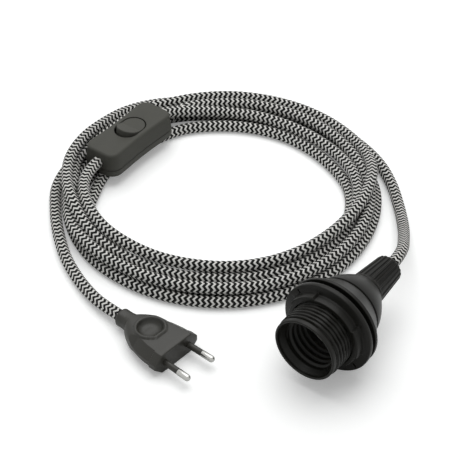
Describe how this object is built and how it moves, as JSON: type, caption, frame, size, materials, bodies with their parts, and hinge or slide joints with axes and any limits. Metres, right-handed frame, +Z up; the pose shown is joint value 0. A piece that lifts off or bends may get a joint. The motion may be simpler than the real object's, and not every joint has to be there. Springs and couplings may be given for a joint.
{
  "type": "pendant lamp holder with cord",
  "caption": "Threaded lamp holder with a shade ring and ribbed cord gland, on a coiled zigzag textile cord with an in-line rocker switch and a flat plug.",
  "frame": {"origin": "on the floor under the middle of the lamp holder, measured without the cord, the switch and the plug", "axes": "+Z up; the lamp holder's mouth points to -Y, its cord gland to +Y; the coil lies on the -X side"},
  "size_m": [0.2565, 0.2453, 0.0567],
  "materials": {
    "holder_black": "moulded, satin black",
    "switch_grey": "moulded, matt dark grey",
    "plug_grey": "moulded, matt dark grey",
    "insulator": "moulded, pale",
    "pin_nickel": "nickel plated",
    "brass": "plain",
    "screw_steel": "plated",
    "textile_cord": "black and white zigzag braid"
  },
  "bodies": {
    "light": {"socket_body": "holder_black", "dome_cap": "holder_black", "cable_gland": "holder_black", "cord_grip": "holder_black", "cord_in_gland": "textile_cord", "contact_block": "insulator", "centre_contact": "brass", "side_contact": "brass", "holder_terminal_left": "brass", "holder_terminal_right": "brass", "holder_terminal_left_screw": "screw_steel", "holder_terminal_right_screw": "screw_steel", "switch_base": "switch_grey", "switch_cover": "switch_grey", "common_contact": "brass", "live_contact": "brass", "switch_terminal_in": "brass", "switch_terminal_out": "brass", "switch_terminal_in_screw": "screw_steel", "switch_terminal_out_screw": "screw_steel", "cord_clamp_in": "insulator", "cord_clamp_out": "insulator", "cover_screw_in": "screw_steel", "cover_screw_out": "screw_steel", "plug_body": "plug_grey", "plug_pin_left": "pin_nickel", "plug_pin_right": "pin_nickel", "pin_sleeve_left": "plug_grey", "pin_sleeve_right": "plug_grey", "cord_plug_tail": "textile_cord", "cord_coil": "textile_cord", "cord_switch_in": "textile_cord", "cord_switch_out": "textile_cord", "cord_lamp_tail": "textile_cord"},
    "ring_nut": {"shade_ring": "holder_black"},
    "rocker": {"switch_rocker": "switch_grey", "contact_bridge": "brass"}
  },
  "joints": [
    {"name": "shade_ring_travel", "type": "slide", "parent": "light", "child": "ring_nut", "axis": [0, -1, 0], "range_m": [-0.0024, 0.027]},
    {"name": "rocker_tilt", "type": "hinge", "parent": "light", "child": "rocker", "pos_m": [-0.2058, 0.0581, 0.0195], "axis": [-1, 0, 0], "range_deg": [-19, 0]}
  ]
}
